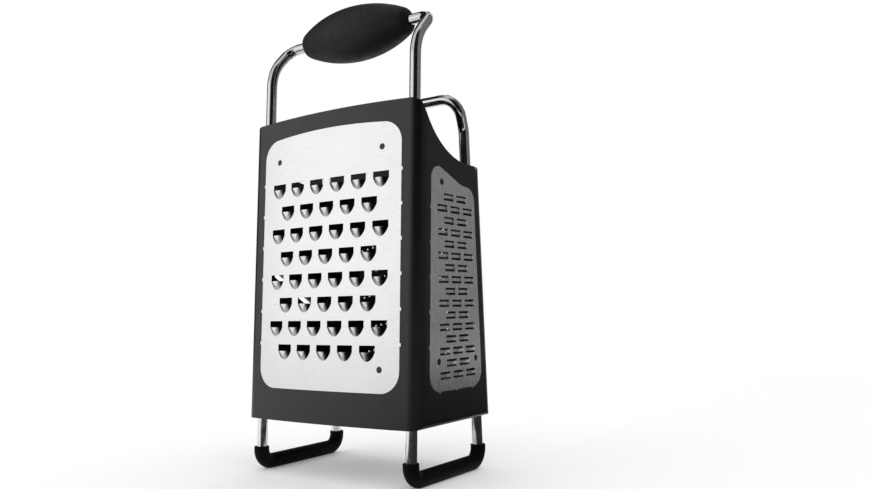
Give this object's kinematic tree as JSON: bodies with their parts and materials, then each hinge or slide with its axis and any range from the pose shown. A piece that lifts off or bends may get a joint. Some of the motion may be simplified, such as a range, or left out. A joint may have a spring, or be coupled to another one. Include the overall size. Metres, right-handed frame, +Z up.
{
  "type": "box grater",
  "caption": "Free-standing box grater: black tapered body with coarse, ribbon, fine and slicing blades, on a bent steel rod frame with a soft grip and rubber feet.",
  "frame": {"origin": "on the floor under the middle of the body", "axes": "+Z up; -Y out of the coarse side, +X out of the ribbon side, +Y out of the fine side, -X out of the slicer side"},
  "size_m": [0.1217, 0.08, 0.2647],
  "materials": {
    "body_plastic": "satin",
    "blade_steel": "fine brushed",
    "rod_steel": "polished",
    "foot_rubber": "matt",
    "grip_rubber": "matt",
    "core_plastic": "matt"
  },
  "bodies": {
    "grater": {"body_shell": "body_plastic", "coarse_blade": "blade_steel", "ribbon_blade": "blade_steel", "slicer_blade": "blade_steel", "handle_hoop": "rod_steel", "bail_hoop": "rod_steel", "left_foot": "foot_rubber", "right_foot": "foot_rubber", "grip_core": "core_plastic", "grip_cover": "grip_rubber"},
    "panel": {"fine_panel": "body_plastic", "fine_blade": "blade_steel"}
  },
  "joints": [
    {"name": "panel_slide", "type": "slide", "parent": "grater", "child": "panel", "axis": [0, -0.045, 0.999], "range_m": [0, 0.12]}
  ]
}
